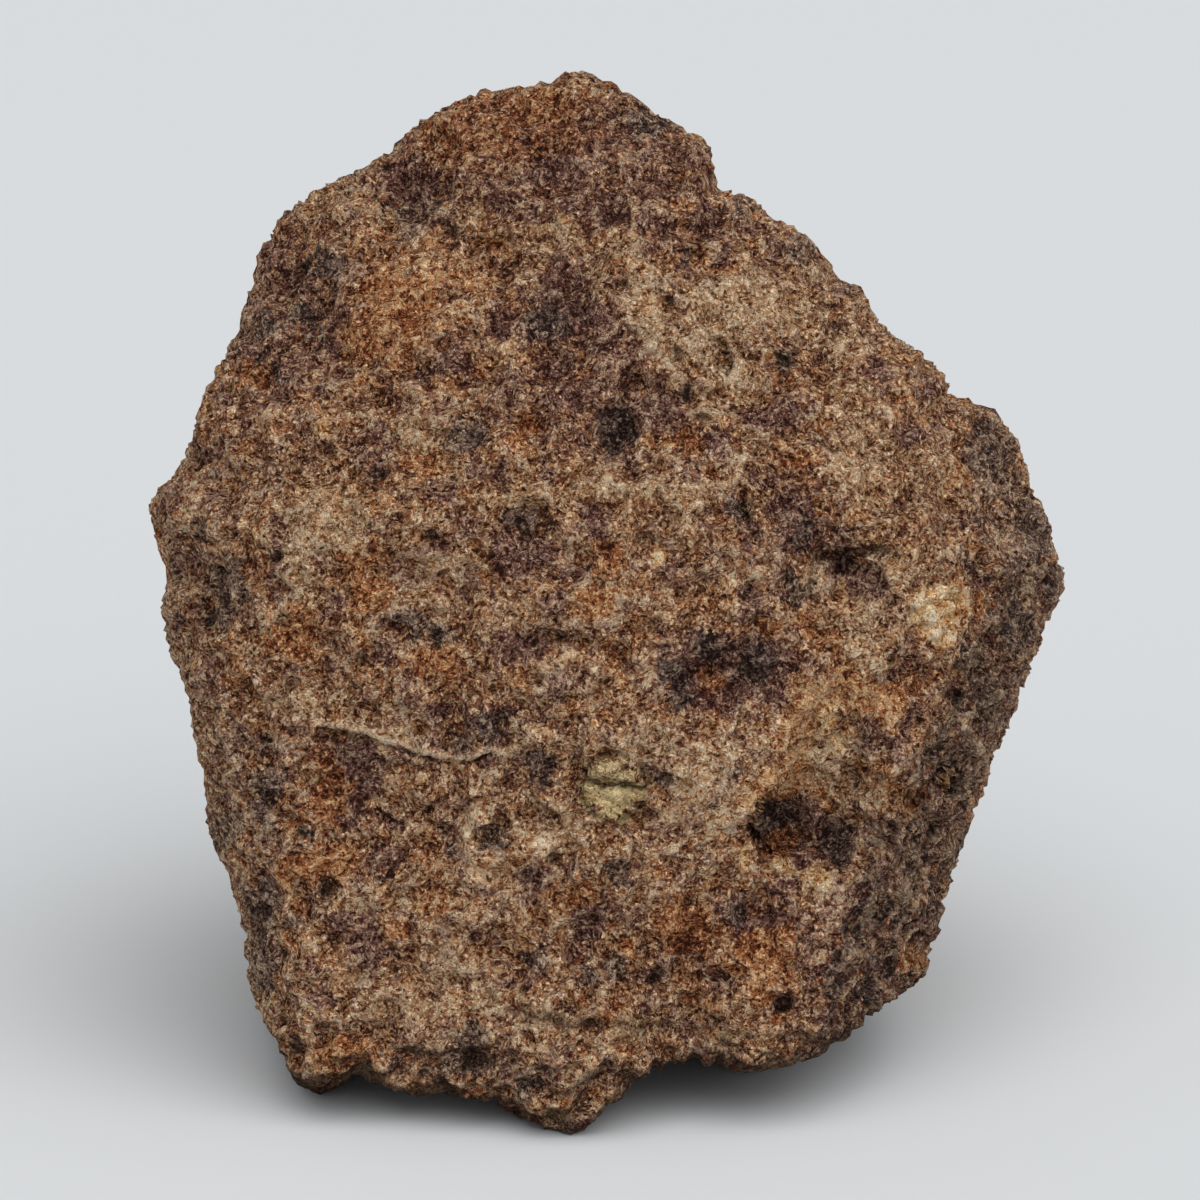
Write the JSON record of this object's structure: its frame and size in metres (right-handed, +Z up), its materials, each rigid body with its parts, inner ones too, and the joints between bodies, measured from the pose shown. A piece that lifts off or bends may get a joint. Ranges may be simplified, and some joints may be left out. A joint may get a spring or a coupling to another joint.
{
  "type": "meteorite",
  "caption": "Weathered stony meteorite, a fist-sized broken stone with ledges, a scooped hollow and worn points that it stands on.",
  "frame": {"origin": "middle of the bounding box, on the surface that the stone stands on", "axes": "+Z up, +X to the right and +Y to the back as the broad broken front is seen"},
  "size_m": [0.0775, 0.0634, 0.0822],
  "materials": {
    "stone": "matte, granular and weathered: dark purple-brown grains in tan and rust, with pale specks"
  },
  "bodies": {
    "root": {"stone": "stone"}
  },
  "joints": []
}
